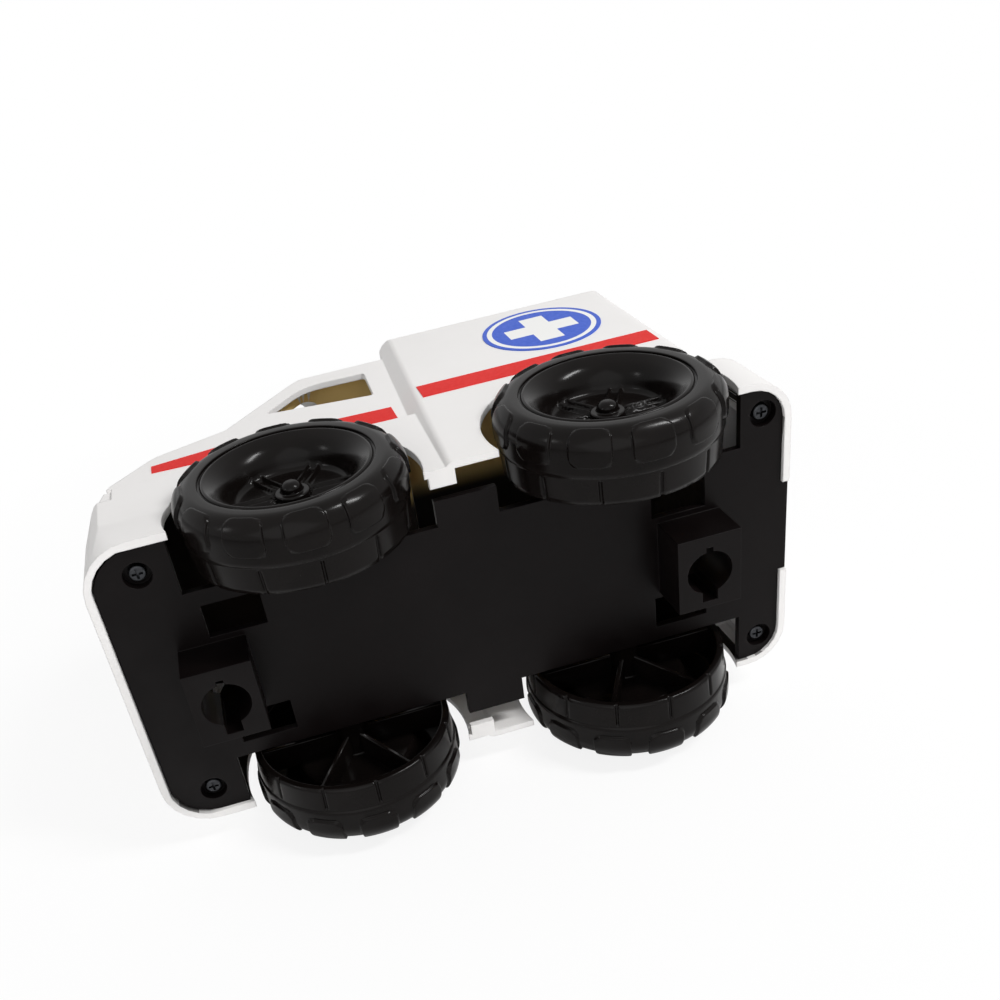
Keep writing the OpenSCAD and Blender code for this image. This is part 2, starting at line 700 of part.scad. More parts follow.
// Stickers on the flat sides: a stripe on the cab, a stripe and an emblem on the box
module side_sticker(path, y) {
    translate([0, y + sticker_t, 0]) rotate([90, 0, 0]) linear_extrude(height = sticker_t) polygon(path);
}
module stripe_box_left() {
    from = box_rear_x + box_stripe_rear;
    to = box_front_x - box_stripe_front;
    top = box_stripe_z + stripe_h;
    path = [[from, box_stripe_z], [to, box_stripe_z], [to, top], [from, top]];
    color(stripe_red) side_sticker(path, box_w / 2);
}
module stripe_box_right() {
    mirror([0, 1, 0]) stripe_box_left();
}
module stripe_cab_left() {
    from = box_front_x + cab_stripe_rear_share * cab_l;
    to = box_front_x + cab_stripe_front_share * cab_l;
    low = box_stripe_z - cab_stripe_drop;
    top = low + stripe_h;
    knee = [box_front_x + cab_stripe_knee_shares.x * cab_l, top + cab_stripe_knee_shares.y * stripe_h];
    path = [[from, low], [to, top - stripe_h * cab_stripe_front_h_share], [to, top], knee, [from, top]];
    color(stripe_red) side_sticker(path, cab_w / 2);
}
module stripe_cab_right() {
    mirror([0, 1, 0]) stripe_cab_left();
}
module emblem_left() {
    low = box_stripe_z + stripe_h;
    rise = box_h - low;
    centre = [box_rear_x + emblem_x_share * box_l, box_w / 2, low + emblem_z_share * rise];
    color(emblem_blue) translate(centre) rotate([-90, 0, 0])
        cylinder(d = emblem_d_share * rise, h = sticker_t);
}
module emblem_right() {
    mirror([0, 1, 0]) emblem_left();
}

body_shell();
chassis();
chassis_screws();
front_axle();
rear_axle();
wheel_front_left();
wheel_front_right();
wheel_rear_left();
wheel_rear_right();
axle_cap_front_left();
axle_cap_front_right();
axle_cap_rear_left();
axle_cap_rear_right();
stripe_cab_left();
stripe_cab_right();
stripe_box_left();
stripe_box_right();
emblem_left();
emblem_right();
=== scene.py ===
import json
import bmesh
import bpy
import numpy as np
from mathutils import Matrix, Vector
from mathutils.bvhtree import BVHTree


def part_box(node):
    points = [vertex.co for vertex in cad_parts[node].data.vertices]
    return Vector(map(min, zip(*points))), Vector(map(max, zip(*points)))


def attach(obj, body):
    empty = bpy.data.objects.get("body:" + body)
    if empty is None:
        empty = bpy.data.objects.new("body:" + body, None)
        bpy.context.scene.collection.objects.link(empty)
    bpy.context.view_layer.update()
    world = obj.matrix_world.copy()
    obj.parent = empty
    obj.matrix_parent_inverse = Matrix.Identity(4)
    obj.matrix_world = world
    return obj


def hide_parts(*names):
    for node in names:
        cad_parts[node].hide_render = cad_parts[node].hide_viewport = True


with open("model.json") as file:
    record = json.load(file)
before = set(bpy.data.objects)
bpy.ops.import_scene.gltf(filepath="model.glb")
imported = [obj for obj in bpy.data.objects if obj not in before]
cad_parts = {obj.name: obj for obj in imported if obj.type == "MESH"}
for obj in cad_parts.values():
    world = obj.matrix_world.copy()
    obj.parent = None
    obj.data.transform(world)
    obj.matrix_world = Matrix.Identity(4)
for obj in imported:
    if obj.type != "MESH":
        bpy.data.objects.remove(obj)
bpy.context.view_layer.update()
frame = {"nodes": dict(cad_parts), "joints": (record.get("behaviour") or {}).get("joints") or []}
nodes = frame["nodes"]
scene = bpy.context.scene
scene.view_settings.view_transform = "Standard"
mm = 0.001
print("frame loaded", len(nodes), "nodes")

# camera of the photo: place in metres, right, down and ahead axes, focal length and centre in pixels
cameraSizes = dict(
    place=(0.05197, 0.18065, -0.24496),
    right=(-0.9599, -0.1634, -0.2277),
    down=(0.2606, -0.8194, -0.5106),
    ahead=(-0.1032, -0.5495, 0.8291),
    focal=1063.2, centre=(409.7, 623.4), image=1000.0,
    sensor=36.0, clip=(0.01, 100.0))


def makeCamera(c):
    data = bpy.data.cameras.new("photoCamera")
    data.sensor_width = c["sensor"]
    data.lens = c["sensor"] * c["focal"] / c["image"]
    data.shift_x = 0.5 - c["centre"][0] / c["image"]
    data.shift_y = c["centre"][1] / c["image"] - 0.5
    data.clip_start, data.clip_end = c["clip"]
    camera = bpy.data.objects.new("photoCamera", data)
    up = [-v for v in c["down"]]
    back = [-v for v in c["ahead"]]
    turn = Matrix((c["right"], up, back)).transposed()
    camera.matrix_world = Matrix.Translation(c["place"]) @ turn.to_4x4()
    scene.collection.objects.link(camera)
    scene.camera = camera


makeCamera(cameraSizes)
print("camera made")


# sRGB hex to linear colour
def linear(text):
    v = np.array([int(text[i:i + 2], 16) for i in (1, 3, 5)]) / 255.0
    low, high = v / 12.92, ((v + 0.055) / 1.055) ** 2.4
    return tuple(np.where(v <= 0.04045, low, high)) + (1.0,)


# fill a node's inputs, or link them to a socket or to another node's first output
def feed(tree, node, inputs):
    for key, value in inputs.items():
        if isinstance(value, bpy.types.Node):
            value = value.outputs[0]
        if isinstance(value, bpy.types.NodeSocket):
            tree.links.new(value, node.inputs[key])
        else:
            node.inputs[key].default_value = value


# add a node with its settings and links
def addNode(tree, kind, inputs=None, **settings):
    node = tree.nodes.new(kind)
    for key, value in settings.items():
        setattr(node, key, value)
    feed(tree, node, inputs or {})
    return node


# new material with its noise patterns, each from a size in millimetres and a detail; moulding grain and
# mottle are finer on the real thing and are drawn this coarse so that they show
def newMaterial(name, patterns):
    material = bpy.data.materials.new(name)
    material.use_nodes = True
    tree = material.node_tree
    coords = addNode(tree, "ShaderNodeTexCoord").outputs["Object"]
    noise = {}
    for key, (size, detail) in patterns.items():
        inputs = {"Vector": coords, "Scale": 1 / (size * mm), "Detail": detail}
        noise[key] = addNode(tree, "ShaderNodeTexNoise", inputs)
    return material, tree, coords, noise


# shared by all finishes: where most of a noise lies, grain depth in millimetres, samples of a soft edge
skinSizes = dict(noiseSpan=(0.3, 0.7), plasticIor=1.5, grainDepth=0.1, edgeSamples=6)


# colour and a roughness that follows a pattern; what is left of the shader comes in as extra inputs
def giveSkin(tree, p, colour, pattern, extra):
    (start, end), (low, high) = skinSizes["noiseSpan"], p["roughness"]
    span = {"Value": pattern, "From Min": start, "From Max": end, "To Min": low, "To Max": high}
    rough = addNode(tree, "ShaderNodeMapRange", span)
    feed(tree, tree.nodes["Principled BSDF"], {"Base Color": colour, "Roughness": rough} | extra)


# plastic: the skin with its gloss, and where it has a grain a bump on softly rounded edges
def givePlastic(tree, p, colour, pattern, grain=None):
    extra = {"IOR": skinSizes["plasticIor"], "Specular IOR Level": p["gloss"]}
    if grain:
        bump = {"Height": grain, "Strength": p["bump"], "Distance": skinSizes["grainDepth"] * mm}
        if p["edge"]:
            soft = {"Radius": p["edge"] * mm}
            bump["Normal"] = addNode(tree, "ShaderNodeBevel", soft, samples=skinSizes["edgeSamples"])
        extra["Normal"] = addNode(tree, "ShaderNodeBump", bump)
    giveSkin(tree, p, colour, pattern, extra)


# moulded ABS: satin gloss, faint flow marks and handling scuffs; inner faces carry painted light and shade:
# a painted warm glow under the left part of the roof, and painted shade elsewhere, from the edge of the
# wheel arches and of the sill upwards
whitePlastic = dict(
    outer="#f3f1f0", shade="#ebe9e7", warm="#f6d58c", deep="#150d06",
    patterns=dict(flow=(38.0, 3.0), scuff=(3.5, 4.0), grain=(0.45, 1.0)),
    roughness=(0.4, 0.52), gloss=0.3, bump=0.04, edge=0.6,
    sillX=-5.0, archX=(11, 17), archZ=(18, 30), sillZ=(38, 66), warmZ=(95, 110), warmY=(-17, -7))


def mouldedWhiteAbs(p):
    material, tree, coords, noise = newMaterial("mouldedWhiteAbs", p["patterns"])
    tones = {"Factor": noise["flow"], 6: linear(p["outer"]), 7: linear(p["shade"])}
    outer = addNode(tree, "ShaderNodeMix", tones, data_type="RGBA").outputs[2]
    x, y, z = addNode(tree, "ShaderNodeSeparateXYZ", {"Vector": coords}).outputs
    offSill = addNode(tree, "ShaderNodeMath", {0: x, 1: p["sillX"] * mm}, operation="SUBTRACT")
    away = addNode(tree, "ShaderNodeMath", {0: offSill}, operation="ABSOLUTE")
    # ramps placing painted shade on inner faces by the arches and from the sill up, and painted warm glow
    # under the roof's left part
    past = {}  # 0 before the first place and 1 past the second
    for key, value in dict(archX=away, archZ=z, sillZ=z, warmZ=z, warmY=y).items():
        first, second = p[key]
        span = {"Value": value, "From Min": first * mm, "From Max": second * mm}
        past[key] = addNode(tree, "ShaderNodeMapRange", span, interpolation_type="SMOOTHSTEP")
    arch = addNode(tree, "ShaderNodeMath", {0: past["archX"], 1: past["archZ"]}, operation="MULTIPLY")
    shaded = addNode(tree, "ShaderNodeMath", {0: arch, 1: past["sillZ"]}, operation="MAXIMUM")
    mark = addNode(tree, "ShaderNodeAttribute", attribute_name="inside").outputs["Fac"]
    inner = addNode(tree, "ShaderNodeMath", {0: mark, 1: shaded}, operation="MULTIPLY")
    # inner faces: the deep tone is painted shade, and the warm tone is a painted glow of light coming
    # through the walls
    warm = addNode(tree, "ShaderNodeMath", {0: past["warmY"], 1: past["warmZ"]}, operation="MULTIPLY")
    tones = {"Factor": warm, 6: linear(p["deep"]), 7: linear(p["warm"])}
    inside = addNode(tree, "ShaderNodeMix", tones, data_type="RGBA").outputs[2]
    both = addNode(tree, "ShaderNodeMix", {"Factor": inner, 6: outer, 7: inside}, data_type="RGBA")
    givePlastic(tree, p, both.outputs[2], noise["scuff"], noise["grain"])
    return material


# moulded black plastic, fine-grained on the plate and glossy on the wheels, under a faint haze of dust
blackPlastic = dict(base="#080505", dust="#0f0b0b", patterns=dict(haze=(16.0, 5.0), grain=(0.5, 2.0)),
                    roughness=(0.3, 0.46), gloss=0.1, bump=0.08, edge=0.4)
wheelPlastic = dict(base="#090706", dust="#120e0d", patterns=dict(haze=(9.0, 5.0), grain=(0.7, 2.0)),
                    roughness=(0.15, 0.24), gloss=0.11, bump=0.04, edge=0)


def mouldedBlack(name, p):
    material, tree, coords, noise = newMaterial(name, p["patterns"])
    tones = {"Factor": noise["haze"], 6: linear(p["base"]), 7: linear(p["dust"])}
    colour = addNode(tree, "ShaderNodeMix", tones, data_type="RGBA").outputs[2]
    givePlastic(tree, p, colour, noise["haze"], noise["grain"])
    return material


# zinc-plated steel, turned: slightly mottled, with bright glints; its colour is painted dark, as painted
# shade of the screw heads in their cups
steelFinish = dict(base="#4a4b4e", dull="#262729", patterns=dict(mottle=(0.8, 3.0)), roughness=(0.25, 0.45))


def zincPlatedSteel(p):
    material, tree, coords, noise = newMaterial("zincPlatedSteel", p["patterns"])
    tones = {"Factor": noise["mottle"], 6: linear(p["base"]), 7: linear(p["dull"])}
    colour = addNode(tree, "ShaderNodeMix", tones, data_type="RGBA").outputs[2]
    giveSkin(tree, p, colour, noise["mottle"], {"Metallic": 1.0})
    return material


# printed vinyl film: even ink with a faint mottle under a smooth skin
redFilm = dict(base="#e01a14", deep="#d81711", patterns=dict(mottle=(1.2, 4.0)), roughness=(0.36, 0.46),
               gloss=0.1)


def printedVinyl(name, p, overprint=None):
    material, tree, coords, noise = newMaterial(name, p["patterns"])
    tones = {"Factor": noise["mottle"], 6: linear(p["base"]), 7: linear(p["deep"])}
    colour = addNode(tree, "ShaderNodeMix", tones, data_type="RGBA").outputs[2]
    if overprint:
        colour = overprint(tree, coords, colour, p)
    givePlastic(tree, p, colour, noise["mottle"])
    return material


# printed roundel: blue disc, pale ring near its edge and a pale plus in the middle
emblemFilm = dict(base="#2c5bd0", deep="#2450bd", pale="#f2f2f0", patterns=dict(mottle=(1.2, 4.0)),
                  roughness=(0.36, 0.46), gloss=0.2, ringIn=17.6, ringOut=19.4, armW=4.4, armL=12.6)


# pale where the distance from the middle lies in the ring, or where both side distances lie in an arm
def roundelPrint(tree, coords, ink, p):
    split = addNode(tree, "ShaderNodeSeparateXYZ", {"Vector": coords})
    low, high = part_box("emblem_left")
    away, square = {}, {}
    for axis in ("x", "z"):
        middle = (getattr(low, axis) + getattr(high, axis)) / 2
        spot = split.outputs[axis.upper()]
        off = addNode(tree, "ShaderNodeMath", {0: spot, 1: middle}, operation="SUBTRACT")
        away[axis] = addNode(tree, "ShaderNodeMath", {0: off}, operation="ABSOLUTE")
        square[axis] = addNode(tree, "ShaderNodeMath", {0: off, 1: off}, operation="MULTIPLY")
    total = addNode(tree, "ShaderNodeMath", {0: square["x"], 1: square["z"]}, operation="ADD")
    far = addNode(tree, "ShaderNodeMath", {0: total}, operation="SQRT")
    under = {}
    for key, value, size in (("outer", far, "ringOut"), ("inner", far, "ringIn"),
                             ("longX", away["x"], "armL"), ("flatZ", away["z"], "armW"),
                             ("flatX", away["x"], "armW"), ("longZ", away["z"], "armL")):
        limit = p[size] * mm
        under[key] = addNode(tree, "ShaderNodeMath", {0: value, 1: limit}, operation="LESS_THAN")
    ring = addNode(tree, "ShaderNodeMath", {0: under["outer"], 1: under["inner"]}, operation="SUBTRACT")
    wide = addNode(tree, "ShaderNodeMath", {0: under["longX"], 1: under["flatZ"]}, operation="MULTIPLY")
    tall = addNode(tree, "ShaderNodeMath", {0: under["flatX"], 1: under["longZ"]}, operation="MULTIPLY")
    plus = addNode(tree, "ShaderNodeMath", {0: wide, 1: tall}, operation="MAXIMUM")
    pale = addNode(tree, "ShaderNodeMath", {0: ring, 1: plus}, operation="MAXIMUM")
    tones = {"Factor": pale, 6: ink, 7: linear(p["pale"])}
    return addNode(tree, "ShaderNodeMix", tones, data_type="RGBA").outputs[2]


whiteAbs = mouldedWhiteAbs(whitePlastic)
baseBlack = mouldedBlack("mouldedBlackAbs", blackPlastic)
wheelBlack = mouldedBlack("mouldedBlackVinyl", wheelPlastic)
steel = zincPlatedSteel(steelFinish)
redVinyl = printedVinyl("printedRedVinyl", redFilm)
blueVinyl = printedVinyl("printedBlueVinyl", emblemFilm, roundelPrint)


def dress(obj, material):
    obj.data.materials.clear()
    obj.data.materials.append(material)


# finishes of the solids that show as they are, by a node's name or its first word
finishes = dict(stripe=redVinyl, emblem=blueVinyl, chassis=baseBlack, chassis_screws=steel,
                front_axle=steel, rear_axle=steel)
for name, node in nodes.items():
    finish = finishes.get(name, finishes.get(name.split("_")[0]))
    if finish:
        dress(node, finish)
print("materials made")


# add a piece to the scene, on its body, in place of its node
def place(name, mesh, material, body, node):
    piece = bpy.data.objects.new(name, mesh)
    scene.collection.objects.link(piece)
    dress(piece, material)
    mesh.polygons.foreach_set("use_smooth", np.ones(len(mesh.polygons), dtype=bool))
    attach(piece, body)
    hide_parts(node)
    return piece


straightHalf = 1.55  # half a corner's angle in radians, past which the corner counts as straight


# closed path: each corner becomes an arc of its radius that touches both its sides, in so many turns, and
# each straight is cut into equal parts no longer than the step
def roundedPath(corners, radii, step, turns):
    corners = np.asarray(corners, dtype=float)
    count, arcs = len(corners), []
    for i in range(count):
        a, b, c = corners[i - 1], corners[i], corners[(i + 1) % count]
        u, v = (a - b) / np.linalg.norm(a - b), (c - b) / np.linalg.norm(c - b)
        half = np.arccos(np.clip(u @ v, -1, 1)) / 2
        if radii[i] <= 0 or half > straightHalf:
            arcs.append(b[None])
            continue
        run = radii[i] / np.tan(half)
        t = np.linspace(0, 1, turns + 1)[:, None]
        middle = b + (u + v) / np.linalg.norm(u + v) * radii[i] / np.sin(half)
        ray = (b + u * run - middle) * (1 - t) + (b + v * run - middle) * t
        arcs.append(middle + ray / np.linalg.norm(ray, axis=1)[:, None] * radii[i])
    full = np.concatenate(arcs)
    rows = []
    for p, q in zip(full, np.roll(full, -1, axis=0)):
        cuts = max(1, int(np.ceil(np.linalg.norm(q - p) / step)))
        rows.append(p + (q - p) * np.arange(cuts)[:, None] / cuts)
    return np.concatenate(rows)


# quads of a grid whose columns close on themselves, and its rows too where that is asked for
def gridQuads(rows, columns, closeRows):
    i, j = np.meshgrid(np.arange(rows if closeRows else rows - 1), np.arange(columns), indexing="ij")
    down, across = (i + 1) % rows, (j + 1) % columns
    corners = [i * columns + j, down * columns + j, down * columns + across, i * columns + across]
    return np.stack(corners, axis=-1).reshape(-1, 4)


# six times the volume inside blocks of faces, each face taken as a fan of triangles
def signedVolume(points, blocks):
    total = 0.0
    for block in blocks:
        corners = points[block] - points.mean(axis=0)
        for k in range(1, block.shape[1] - 1):
            total += np.einsum("ij,ij->", corners[:, 0], np.cross(corners[:, k], corners[:, k + 1]))
    return total


# mesh of closed parts, each of points and blocks of faces, moved to a middle, mirrored where the sign is
# negative, with faces that point outwards
def solidMesh(name, parts, middle, sign):
    points, faces, base = [], [], 0
    for local, blocks in parts:
        world = (local + middle) * (mm, sign * mm, mm)
        order = 1 if signedVolume(world, blocks) > 0 else -1
        for block in blocks:
            faces += (block[:, ::order] + base).tolist()
        points.append(world)
        base += len(world)
    mesh = bpy.data.meshes.new(name)
    mesh.from_pydata(np.concatenate(points).tolist(), [], faces)
    mesh.update()
    return mesh


# wheel, in millimetres and degrees; a section's point is its distance from the axle and from the inner edge
wheelSizes = dict(
    inner=35.7, columns=280, columnGap=0.1,  # inner edge from the toy's middle, columns and their least gap
    edge=(32.6, 0.0), band=(33.2, 8.8), tread=(33.6, 9.3),
    shoulder=(28.0, 16.1), shoulderR=(5.6, 6.5),
    bandRows=(0.04, 0.2, 0.5, 0.8, 0.86, 0.89, 0.92, 0.97),  # shares of the band's width
    flatRows=(0, 1.2, 2.3, 2.8, 2.95, 3.1, 3.3, 3.5, 3.8, 4.2, 4.7, 5.2, 5.7, 6.2),
    turnRows=[(0, 45, 10), (48, 60, 5), (61, 74, 13), (78, 90, 4)],  # from, to and rows round the shoulder
    # sidewall groove, lip, funnel, hub disc, axle hole, hub tube and the hollow back
    rest=[(25.8, 22.6), (25.8, 21.6), (25.0, 21.6), (25.0, 23.0), (19.5, 19.8), (17.2, 12.7),
          (2.0, 12.7), (2.0, -3.9), (5.0, -3.9), (5.0, 10.5), (19.4, 10.5), (21.7, 16.2),
          (25.0, 19.4), (31.4, 17.3), (31.4, 8.8), (30.4, 0.0)],
    restR=[0.25, 0.2, 0.2, 0.7, 8.0, 2.0, 0.2, 0.3, 0.4, 1.0, 2.0, 3.0, 2.0, 2.0, 0.0, 0.4],
    restStep=1.4, cornerTurns=4,
    pads=12, padPhase=19.8, padFill=20.7, padH=0.8, padStart=12.3, padTurn=70.0,
    padCorner=3.0, padEdge=0.45, padColumns=(0, 0.08, 0.2, 0.36, 0.56, 0.8),
    grooveShift=13.85, grooveW=1.1, grooveDepth=0.7, grooveEnd=7.9, grooveColumns=(0.2, 0.5, 0.75, 0.95),
    spokes=6, spokeW=1.3, spokeAt=1.7, spokeH=1.2, spokeFrom=5.8, spokeEdge=0.5,
    disc=12.7, discR=18.2, discBelow=0.5, discTilt=0.1,  # where ribs stand: place, radius, depth and tilt
    webs=6, webT=1.6, webR=0.5, webSpan=(4.4, 31.0), webW=(2.5, 11.6), webStep=9.0)


# quarter-round step: 0 at the edge, 1 a run further in, rising as a circle does
def roundStep(inwards, run):
    s = np.clip(inwards / run, 0, 1)
    return np.sqrt(1 - (1 - s) ** 2)


# closed section of a wheel: straight band, flat tread, quarter-ellipse shoulder, the rest as a rounded path
def wheelSection(s):
    edge, band, tread = (np.array(s[key]) for key in ("edge", "band", "tread"))
    t = np.radians(np.concatenate([np.linspace(*run) for run in s["turnRows"]]))[:, None]
    shoulder = np.array(s["shoulder"]) + np.array(s["shoulderR"]) * np.hstack([np.cos(t), np.sin(t)])
    bandRows = edge + (band - edge) * np.array(s["bandRows"])[:, None]
    flatRows = tread + np.column_stack([np.zeros(len(s["flatRows"])), s["flatRows"]])
    outer = np.concatenate([bandRows, [band, (band + tread) / 2], flatRows, shoulder])
    corners = [tuple(outer[-1])] + s["rest"] + [tuple(outer[0])]
    rest = roundedPath(corners, [0.0] + s["restR"] + [0.0], s["restStep"], s["cornerTurns"])
    last = np.flatnonzero(np.all(np.isclose(rest, outer[0]), axis=1))[-1]
    return np.concatenate([outer[:-1], rest[:last]]), len(outer) - 1


# angles of the columns: even steps round the wheel, with more of them at the sides of pads and grooves
def wheelColumns(s):
    start, cut = s["padPhase"], s["padPhase"] + s["grooveShift"]
    sides = [start + d for d in s["padColumns"]] + [start + s["padFill"] - d for d in s["padColumns"]]
    sides += [cut + d for d in s["grooveColumns"]] + [cut - d for d in s["grooveColumns"]] + [cut]
    pitch = 360.0 / s["pads"]
    extra = (np.array(sides)[None] + pitch * np.arange(s["pads"])[:, None]).ravel() % 360
    every = np.linspace(0, 360, s["columns"], endpoint=False)
    apart = np.abs((every[:, None] - extra[None] + 180) % 360 - 180).min(axis=1)
    return np.radians(np.sort(np.concatenate([every[apart > s["columnGap"]], extra])))


# wheel: its section turned round the axle, moved along its normal by pads and grooves, with ribs on its disc
def wheelPoints(s):
    section, outerRows = wheelSection(s)
    ahead = np.roll(section, -1, axis=0) - np.roll(section, 1, axis=0)
    normal = np.stack([ahead[:, 1], -ahead[:, 0]], axis=1) / np.linalg.norm(ahead, axis=1)[:, None]
    theta = wheelColumns(s)
    r, w = section[:, :1], section[:, 1:]
    outer = section[:outerRows]
    run = np.concatenate([[0], np.cumsum(np.linalg.norm(np.diff(outer, axis=0), axis=1))])[:, None]
    turnW = s["shoulder"][1] + s["shoulderR"][1] * np.sin(np.radians(s["padTurn"]))
    start, end = np.interp([s["padStart"], turnW], outer[:, 1], run[:, 0])
    # pads: raised rounded rectangles, by the distance to their outline
    pitch = 2 * np.pi / s["pads"]
    middle = np.radians(s["padPhase"] + s["padFill"] / 2)
    away = np.abs((theta - middle + pitch / 2) % pitch - pitch / 2)
    beside = (away - np.radians(s["padFill"]) / 2) * outer[:, :1] + s["padCorner"]
    along = np.abs(run - (start + end) / 2) - (end - start) / 2 + s["padCorner"]
    corner = np.hypot(np.maximum(beside, 0), np.maximum(along, 0))
    outline = corner + np.minimum(np.maximum(beside, along), 0)
    pad = roundStep(s["padCorner"] - outline, s["padEdge"])
    # band grooves: one round-bottomed line for each pad
    cut = np.radians(s["padPhase"] + s["grooveShift"])
    aside = np.abs((theta - cut + pitch / 2) % pitch - pitch / 2) * outer[:, :1]
    groove = roundStep(s["grooveW"] / 2 - aside, s["grooveW"] / 2) * (outer[:, 1:] < s["grooveEnd"])
    lift = np.zeros((len(section), len(theta)))
    lift[:outerRows] = s["padH"] * pad - s["grooveDepth"] * groove
    radius, width = r + normal[:, :1] * lift, w + normal[:, 1:] * lift
    # spokes: pairs of low ribs that stand on the hub disc
    sector = 2 * np.pi / s["spokes"]
    turn = (theta + sector / 2) % sector - sector / 2
    side = s["spokeW"] / 2 - np.abs(np.abs(radius * np.sin(turn)) - s["spokeAt"])
    inwards = np.minimum(side, radius * np.cos(turn) - s["spokeFrom"])
    top = s["disc"] + s["spokeH"] * roundStep(inwards, s["spokeEdge"])
    face = (normal[:, 1:] > s["discTilt"]) & (r < s["discR"]) & (w > s["disc"] - s["discBelow"])
    width = np.where(face & (inwards > 0), np.maximum(width, top), width)
    points = np.stack([radius * np.cos(theta), width, -radius * np.sin(theta)], axis=-1)
    return points.reshape(-1, 3), [gridQuads(len(section), len(theta), True)]


# web: a rounded rectangle drawn out along a straight line from the hub tube to the rim
def webPoints(s, k):
    (low, high), half = s["webW"], s["webT"] / 2
    corners = [(-half, low), (half, low), (half, high), (-half, high)]
    ring = roundedPath(corners, [s["webR"]] * 4, s["webStep"], s["cornerTurns"])
    n = len(ring)
    along = np.repeat(s["webSpan"], n)
    aside, width = np.tile(ring, (2, 1)).T
    angle = 2 * np.pi * k / s["webs"]
    x = along * np.cos(angle) - aside * np.sin(angle)
    z = -along * np.sin(angle) - aside * np.cos(angle)
    ends = np.array([np.arange(n)[::-1], np.arange(n, 2 * n)])
    return np.column_stack([x, width, z]), [gridQuads(2, n, False), ends]


# axle cap, in millimetres: it seats on the hub disc
capSizes = dict(seat=12.7, columns=72, bore=2.0, boreEnd=2.5, flange=5.3, flangeH=1.8, post=3.3, top=4.8,
                sectionR=[0.0, 0.0, 0.2, 0.6, 0.4, 2.6], step=0.5, turns=6)


# cap: a section turned round the axle, closed by a point at both ends
def capPoints(c):
    section = [(c["bore"], c["boreEnd"]), (c["bore"], 0.0), (c["flange"], 0.0), (c["flange"], c["flangeH"]),
               (c["post"], c["flangeH"]), (c["post"], c["top"])]
    first, last = (0.0, c["boreEnd"]), (0.0, c["top"])
    path = roundedPath([first] + section + [last], [0] + c["sectionR"] + [0], c["step"], c["turns"])
    rows = path[1:np.flatnonzero(np.all(np.isclose(path, last), axis=1))[0]]
    theta = np.linspace(0, 2 * np.pi, c["columns"], endpoint=False)
    r, w = rows[:, :1], rows[:, 1:] + c["seat"]
    points = np.stack([r * np.cos(theta), w + 0 * theta, -r * np.sin(theta)], axis=-1).reshape(-1, 3)
    tips = [(0, c["boreEnd"] + c["seat"], 0), (0, c["top"] + c["seat"], 0)]
    n, m = len(points), c["columns"]
    j = np.arange(m)
    across = (j + 1) % m
    innerFan = np.column_stack([np.full(m, n), j, across])
    outerFan = np.column_stack([np.full(m, n + 1), n - m + across, n - m + j])
    return np.concatenate([points, tips]), [gridQuads(len(rows), m, False), innerFan, outerFan]


wheelParts = [wheelPoints(wheelSizes)] + [webPoints(wheelSizes, k) for k in range(wheelSizes["webs"])]
turned = dict(wheel=("wheel", wheelParts), cap=("axle_cap", [capPoints(capSizes)]))
for joint in frame["joints"]:
    body = joint["child"]
    end = body.split("_")[0]
    middle = np.array(joint["pos_m"]) / mm + (0, wheelSizes["inner"], 0)
    for hand, sign in (("left", 1), ("right", -1)):
        for word, (kind, parts) in turned.items():
            name = word + end.title() + hand.title()
            mesh = solidMesh(name, parts, middle, sign)
            place(name, mesh, wheelBlack, body, f"{kind}_{end}_{hand}")
print("wheels made")

# shell, in metres: the moulding's own faces, joined up, with its inner faces marked for their painted shade
# and glow
shellSizes = dict(merge=1e-6, sharp=np.radians(32), rays=160, lowest=-0.5, start=2e-5, near=0.004,
                  blocked=0.6, weight=50)


# rays spread evenly over the sphere on a spiral of equal steps in height, less those pointing steeply down
def outlooks(count, lowest):
    k = np.arange(count) + 0.5
    up, turn = 1 - 2 * k / count, np.pi * (1 + 5 ** 0.5) * k
    flat = np.sqrt(1 - up ** 2)
    rays = np.column_stack([np.cos(turn) * flat, np.sin(turn) * flat, up])
    return [Vector(ray) for ray in rays[up > lowest]]


# a face is an inner one where most rays from it meet the shell again, further off than its ribs and edges
def makeShell(s):
    work = bmesh.new()
    work.from_mesh(nodes["body_shell"].data)
    bmesh.ops.remove_doubles(work, verts=work.verts, dist=s["merge"])
    tree = BVHTree.FromBMesh(work)
    rays = outlooks(s["rays"], s["lowest"])
    layer = work.faces.layers.float.new("inside")
    for face in work.faces:
        origin = face.calc_center_median() + face.normal * s["start"]
        seen = [ray for ray in rays if ray.dot(face.normal) > 0]
        hits = sum((tree.ray_cast(origin, ray)[3] or 0) > s["near"] for ray in seen)
        face[layer] = float(hits > s["blocked"] * len(seen))
    for edge in work.edges:
        edge.smooth = len(edge.link_faces) == 2 and edge.calc_face_angle(0) < s["sharp"]
    mesh = bpy.data.meshes.new("bodyShell")
    work.to_mesh(mesh)
    work.free()
    piece = place("bodyShell", mesh, whiteAbs, "vehicle", "body_shell")
    even = piece.modifiers.new("evenNormals", "WEIGHTED_NORMAL")
    even.keep_sharp = True
    even.mode = "FACE_AREA"
    even.weight = s["weight"]


makeShell(shellSizes)
print("shell made")

# stage, in metres: the toy lies on its right side, so the floor touches its right wheels and its roof edge
stageSizes = dict(
    wheelSide=-0.0589, wheelTop=0.060, roofSide=-0.0515, roofTop=0.140, half=6.0,
    aim=(0, 0, 0.07), near=0.1, far=0.3, dim=0.85, paint="#fbfbfb", fill=0.4)


